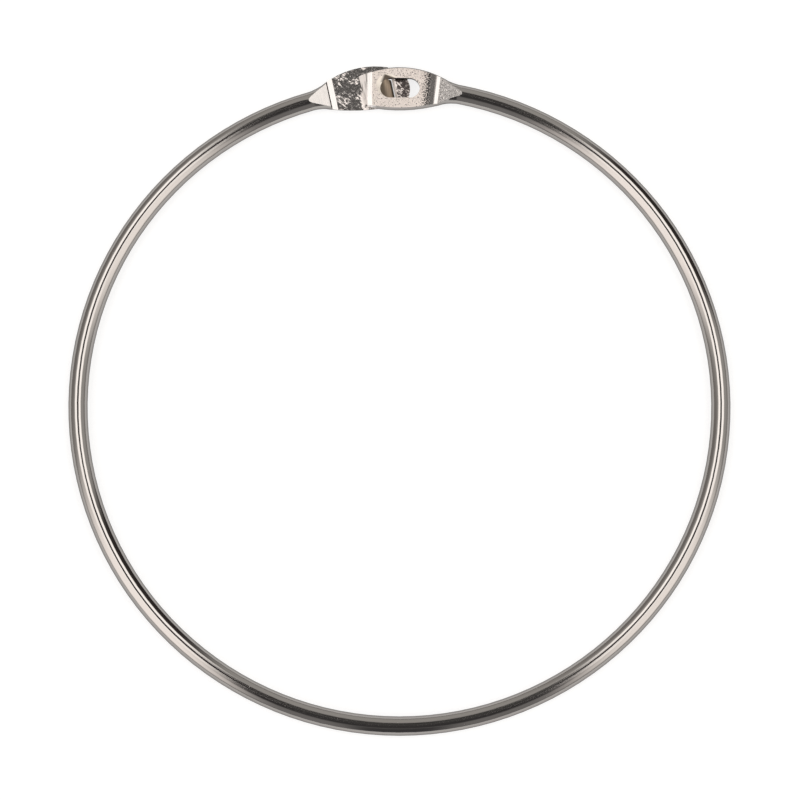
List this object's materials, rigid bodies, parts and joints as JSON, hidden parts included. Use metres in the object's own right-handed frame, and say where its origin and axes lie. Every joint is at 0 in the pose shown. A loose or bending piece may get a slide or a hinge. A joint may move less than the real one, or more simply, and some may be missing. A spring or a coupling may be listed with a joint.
{
  "type": "binder ring",
  "caption": "Round springy wire ring whose flattened ends overlap and hook together, for holding punched sheets or sample cards.",
  "frame": {"origin": "centre of the ring, on the middle plane of the wire", "axes": "+Z along the ring's axis, towards the face that shows the slot and tongue; +Y from the centre to the clasp; +X towards the upper end's side"},
  "size_m": [0.0806, 0.0824, 0.0024],
  "materials": {
    "bright_nickel": "bright nickel plate on steel wire, polished on the wire and finely grained on the stamped ends"
  },
  "bodies": {
    "root": {"binder_ring": "bright_nickel"}
  },
  "joints": []
}
